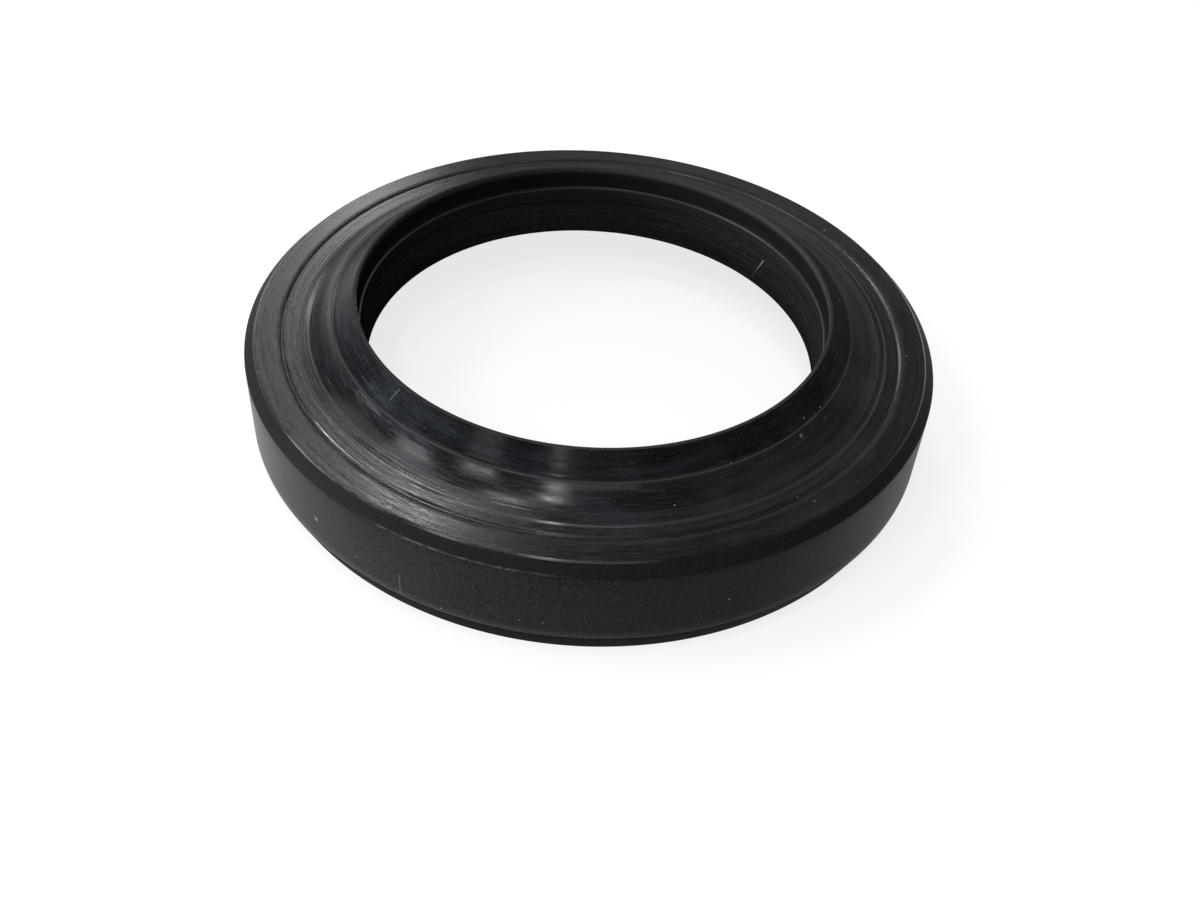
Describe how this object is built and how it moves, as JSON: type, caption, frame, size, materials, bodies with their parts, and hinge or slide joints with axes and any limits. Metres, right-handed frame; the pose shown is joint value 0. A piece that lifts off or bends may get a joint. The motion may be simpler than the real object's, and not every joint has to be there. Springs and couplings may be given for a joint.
{
  "type": "radial shaft seal",
  "caption": "Black rubber shaft seal ring: flat rim, dished slope to a raised neck, sealing lip in the bore and a garter spring in the recess behind it.",
  "frame": {"origin": "centre of the oil side face, on which the seal stands", "axes": "+Z along the shaft's axis, towards the air side with the raised neck"},
  "size_m": [0.0624, 0.0624, 0.0132],
  "materials": {
    "rubber": "black nitrile rubber, turned and polished on the air side, matte on the outer wall",
    "spring_steel": "bright drawn wire with a film of oil"
  },
  "bodies": {
    "root": {"seal_body": "rubber", "garter_spring": "spring_steel"}
  },
  "joints": []
}
